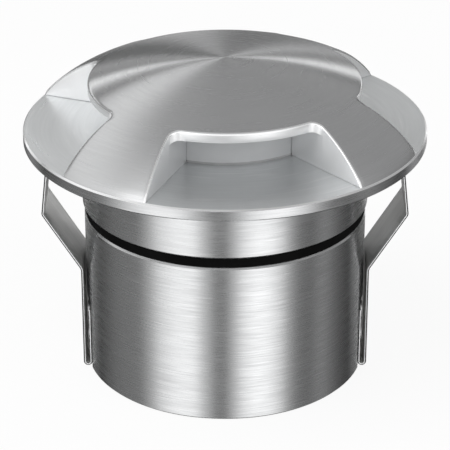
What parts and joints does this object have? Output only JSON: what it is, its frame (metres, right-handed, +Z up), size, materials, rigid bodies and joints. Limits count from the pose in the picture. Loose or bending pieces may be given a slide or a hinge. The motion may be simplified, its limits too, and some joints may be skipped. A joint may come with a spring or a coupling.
{
  "type": "in ground well light",
  "caption": "Recessed ground light with a domed steel cover, side windows, sealed screw-in head, cup barrel and sprung side clips.",
  "frame": {"origin": "centre of the barrel's foot, on the plane that the light stands on", "axes": "+Z up along the barrel's axis, spring clips at +X and -X, -Y towards the picture's camera"},
  "size_m": [0.09, 0.09, 0.0736],
  "materials": {
    "cover_steel": "brushed round the crown, polished window edges",
    "flange_steel": "fine brushed, bright edge",
    "barrel_steel": "brushed round the barrel",
    "spring_steel": "rolled strip, satin",
    "rivet_steel": "satin",
    "screw_steel": "bright",
    "seal_black": "matte",
    "lens_seal": "matte",
    "frosted": "frosted, translucent white",
    "reflector_white": "white, satin",
    "sink_aluminium": "turned",
    "pad_grey": "matte",
    "board_white": "white solder resist",
    "lamp_yellow": "phosphor yellow",
    "lead_red": "insulated lead",
    "board_green": "green solder resist",
    "copper": "enamelled copper winding",
    "sleeve_blue": "shrink sleeve",
    "chip_black": "moulded",
    "terminal_green": "moulded",
    "brass": "turned",
    "gland_nickel": "nickel plated, satin"
  },
  "bodies": {
    "housing": {"barrel": "barrel_steel", "heat_sink": "sink_aluminium", "heat_sink_screws": "screw_steel", "thermal_pad": "pad_grey", "led_board": "board_white", "led_emitters": "lamp_yellow", "led_board_screws": "screw_steel", "led_leads": "lead_red", "driver_board": "board_green", "driver_inductor": "copper", "driver_capacitors": "sleeve_blue", "driver_chips": "chip_black", "terminal_block": "terminal_green", "standoffs": "brass", "driver_board_screws": "screw_steel", "gland_body": "gland_nickel", "gland_gasket": "seal_black", "gland_seal": "seal_black", "gland_nut": "gland_nickel", "gland_locknut": "gland_nickel", "left_clip": "spring_steel", "left_clip_rivets": "rivet_steel", "right_clip": "spring_steel", "right_clip_rivets": "rivet_steel"},
    "seal": {"body_gasket": "seal_black"},
    "head": {"cover": "cover_steel", "flange_ring": "flange_steel", "diffuser_ring": "frosted", "lens_gasket_upper": "lens_seal", "lens_gasket_lower": "lens_seal", "reflector_cone": "reflector_white", "reflector_screw": "screw_steel", "cover_screws": "screw_steel"},
    "left_arm": {"left_clip_arm": "spring_steel"},
    "right_arm": {"right_clip_arm": "spring_steel"}
  },
  "joints": [
    {"name": "head_lift", "type": "slide", "parent": "housing", "child": "seal", "axis": [0, 0, 1], "range_m": [0, 0.006]},
    {"name": "head_turn", "type": "hinge", "parent": "seal", "child": "head", "pos_m": [0, 0, 0.0376], "axis": [0, 0, 1], "range_deg": [0, 1080]},
    {"name": "left_clip_flex", "type": "hinge", "parent": "housing", "child": "left_arm", "pos_m": [-0.0324, 0, 0.02495], "axis": [0, 1, 0], "range_deg": [0, 12], "stiffness_Nm_per_rad": 1.5},
    {"name": "right_clip_flex", "type": "hinge", "parent": "housing", "child": "right_arm", "pos_m": [0.0324, 0, 0.02495], "axis": [0, -1, 0], "range_deg": [0, 12], "stiffness_Nm_per_rad": 1.5}
  ],
  "couplings": [
    {"joint": "head_lift", "follows": "head_turn", "m_per_rad": 0.0003183}
  ]
}
